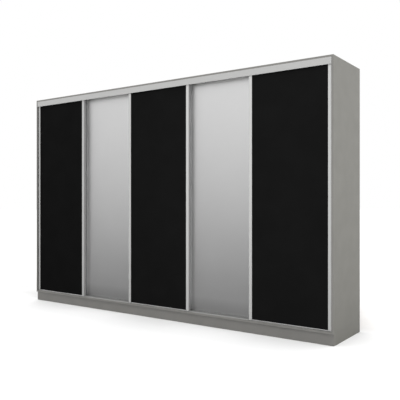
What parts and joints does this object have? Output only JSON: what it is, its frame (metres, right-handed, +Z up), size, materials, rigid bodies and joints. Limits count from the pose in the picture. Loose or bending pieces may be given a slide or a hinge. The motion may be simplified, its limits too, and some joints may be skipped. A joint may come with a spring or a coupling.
{
  "type": "sliding door wardrobe",
  "caption": "Wide floor-standing wardrobe with overlapping black and mirrored sliding doors in slim aluminium frames, running on a double track, with shelves and hanging rails inside.",
  "frame": {"origin": "on the floor, at the middle of the wardrobe width and depth", "axes": "+X along the width to the right of someone facing the doors, -Y out of the front, +Z up"},
  "size_m": [3.5, 0.6, 2.244],
  "materials": {
    "laminate": "warm grey melamine laminate on chipboard, fine matt texture",
    "black_panel": "matt black laminate on chipboard",
    "mirror_glass": "satin silver mirror glass",
    "anodised": "satin silver anodised extrusion",
    "hardboard": "lacquered hardboard, fine texture",
    "zinc_steel": "zinc plated",
    "chromed_tube": "chromed",
    "guide_nylon": "black nylon",
    "wheel_nylon": "white nylon",
    "pile_seal": "grey brush pile on a woven backing",
    "rubber_seal": "soft black gasket"
  },
  "bodies": {
    "carcass": {"side_left": "laminate", "side_right": "laminate", "top_board": "laminate", "bottom_board": "laminate", "partition_1": "laminate", "partition_2": "laminate", "partition_3": "laminate", "partition_4": "laminate", "shelves": "laminate", "shelf_pins": "zinc_steel", "hanging_rails": "chromed_tube", "rail_sockets": "chromed_tube", "back_panels": "hardboard", "plinth_front": "laminate", "plinth_frame": "laminate", "track_top": "anodised", "track_bottom": "anodised", "carcass_screws": "zinc_steel"},
    "door_1": {"door_1_stile_left": "anodised", "door_1_stile_right": "anodised", "door_1_rails": "anodised", "door_1_panel": "black_panel", "door_1_fittings": "zinc_steel", "door_1_guides": "guide_nylon"},
    "door_1_wheel_left": {"door_1_wheel_left": "wheel_nylon"},
    "door_1_wheel_right": {"door_1_wheel_right": "wheel_nylon"},
    "door_2": {"door_2_stile_left": "anodised", "door_2_stile_right": "anodised", "door_2_rails": "anodised", "door_2_mirror": "mirror_glass", "door_2_backing": "laminate", "door_2_fittings": "zinc_steel", "door_2_guides": "guide_nylon"},
    "door_2_wheel_left": {"door_2_wheel_left": "wheel_nylon"},
    "door_2_wheel_right": {"door_2_wheel_right": "wheel_nylon"},
    "door_3": {"door_3_stile_left": "anodised", "door_3_stile_right": "anodised", "door_3_rails": "anodised", "door_3_panel": "black_panel", "door_3_fittings": "zinc_steel", "door_3_guides": "guide_nylon"},
    "door_3_wheel_left": {"door_3_wheel_left": "wheel_nylon"},
    "door_3_wheel_right": {"door_3_wheel_right": "wheel_nylon"},
    "door_4": {"door_4_stile_left": "anodised", "door_4_stile_right": "anodised", "door_4_rails": "anodised", "door_4_mirror": "mirror_glass", "door_4_backing": "laminate", "door_4_fittings": "zinc_steel", "door_4_guides": "guide_nylon"},
    "door_4_wheel_left": {"door_4_wheel_left": "wheel_nylon"},
    "door_4_wheel_right": {"door_4_wheel_right": "wheel_nylon"},
    "door_5": {"door_5_stile_left": "anodised", "door_5_stile_right": "anodised", "door_5_rails": "anodised", "door_5_panel": "black_panel", "door_5_fittings": "zinc_steel", "door_5_guides": "guide_nylon"},
    "door_5_wheel_left": {"door_5_wheel_left": "wheel_nylon"},
    "door_5_wheel_right": {"door_5_wheel_right": "wheel_nylon"}
  },
  "joints": [
    {"name": "door_1_slide", "type": "slide", "parent": "carcass", "child": "door_1", "axis": [1, 0, 0], "range_m": [0, 0.624]},
    {"name": "door_1_wheel_left_spin", "type": "hinge", "parent": "door_1", "child": "door_1_wheel_left", "pos_m": [-1.6525, -0.2644, 0.1253], "axis": [0, 1, 0], "continuous": true},
    {"name": "door_1_wheel_right_spin", "type": "hinge", "parent": "door_1", "child": "door_1_wheel_right", "pos_m": [-1.0775, -0.2644, 0.1253], "axis": [0, 1, 0], "continuous": true},
    {"name": "door_2_slide", "type": "slide", "parent": "carcass", "child": "door_2", "axis": [1, 0, 0], "range_m": [-0.68, 0.624]},
    {"name": "door_2_wheel_left_spin", "type": "hinge", "parent": "door_2", "child": "door_2_wheel_left", "pos_m": [-0.97, -0.2184, 0.1253], "axis": [0, 1, 0], "continuous": true},
    {"name": "door_2_wheel_right_spin", "type": "hinge", "parent": "door_2", "child": "door_2_wheel_right", "pos_m": [-0.395, -0.2184, 0.1253], "axis": [0, 1, 0], "continuous": true},
    {"name": "door_3_slide", "type": "slide", "parent": "carcass", "child": "door_3", "axis": [1, 0, 0], "range_m": [-0.624, 0.624]},
    {"name": "door_3_wheel_left_spin", "type": "hinge", "parent": "door_3", "child": "door_3_wheel_left", "pos_m": [-0.2875, -0.2644, 0.1253], "axis": [0, 1, 0], "continuous": true},
    {"name": "door_3_wheel_right_spin", "type": "hinge", "parent": "door_3", "child": "door_3_wheel_right", "pos_m": [0.2875, -0.2644, 0.1253], "axis": [0, 1, 0], "continuous": true},
    {"name": "door_4_slide", "type": "slide", "parent": "carcass", "child": "door_4", "axis": [1, 0, 0], "range_m": [-0.624, 0.68]},
    {"name": "door_4_wheel_left_spin", "type": "hinge", "parent": "door_4", "child": "door_4_wheel_left", "pos_m": [0.395, -0.2184, 0.1253], "axis": [0, 1, 0], "continuous": true},
    {"name": "door_4_wheel_right_spin", "type": "hinge", "parent": "door_4", "child": "door_4_wheel_right", "pos_m": [0.97, -0.2184, 0.1253], "axis": [0, 1, 0], "continuous": true},
    {"name": "door_5_slide", "type": "slide", "parent": "carcass", "child": "door_5", "axis": [1, 0, 0], "range_m": [-0.624, 0]},
    {"name": "door_5_wheel_left_spin", "type": "hinge", "parent": "door_5", "child": "door_5_wheel_left", "pos_m": [1.0775, -0.2644, 0.1253], "axis": [0, 1, 0], "continuous": true},
    {"name": "door_5_wheel_right_spin", "type": "hinge", "parent": "door_5", "child": "door_5_wheel_right", "pos_m": [1.6525, -0.2644, 0.1253], "axis": [0, 1, 0], "continuous": true}
  ],
  "couplings": [
    {"joint": "door_1_wheel_left_spin", "follows": "door_1_slide", "rad_per_m": 80},
    {"joint": "door_1_wheel_right_spin", "follows": "door_1_slide", "rad_per_m": 80},
    {"joint": "door_2_wheel_left_spin", "follows": "door_2_slide", "rad_per_m": 80},
    {"joint": "door_2_wheel_right_spin", "follows": "door_2_slide", "rad_per_m": 80},
    {"joint": "door_3_wheel_left_spin", "follows": "door_3_slide", "rad_per_m": 80},
    {"joint": "door_3_wheel_right_spin", "follows": "door_3_slide", "rad_per_m": 80},
    {"joint": "door_4_wheel_left_spin", "follows": "door_4_slide", "rad_per_m": 80},
    {"joint": "door_4_wheel_right_spin", "follows": "door_4_slide", "rad_per_m": 80},
    {"joint": "door_5_wheel_left_spin", "follows": "door_5_slide", "rad_per_m": 80},
    {"joint": "door_5_wheel_right_spin", "follows": "door_5_slide", "rad_per_m": 80}
  ]
}
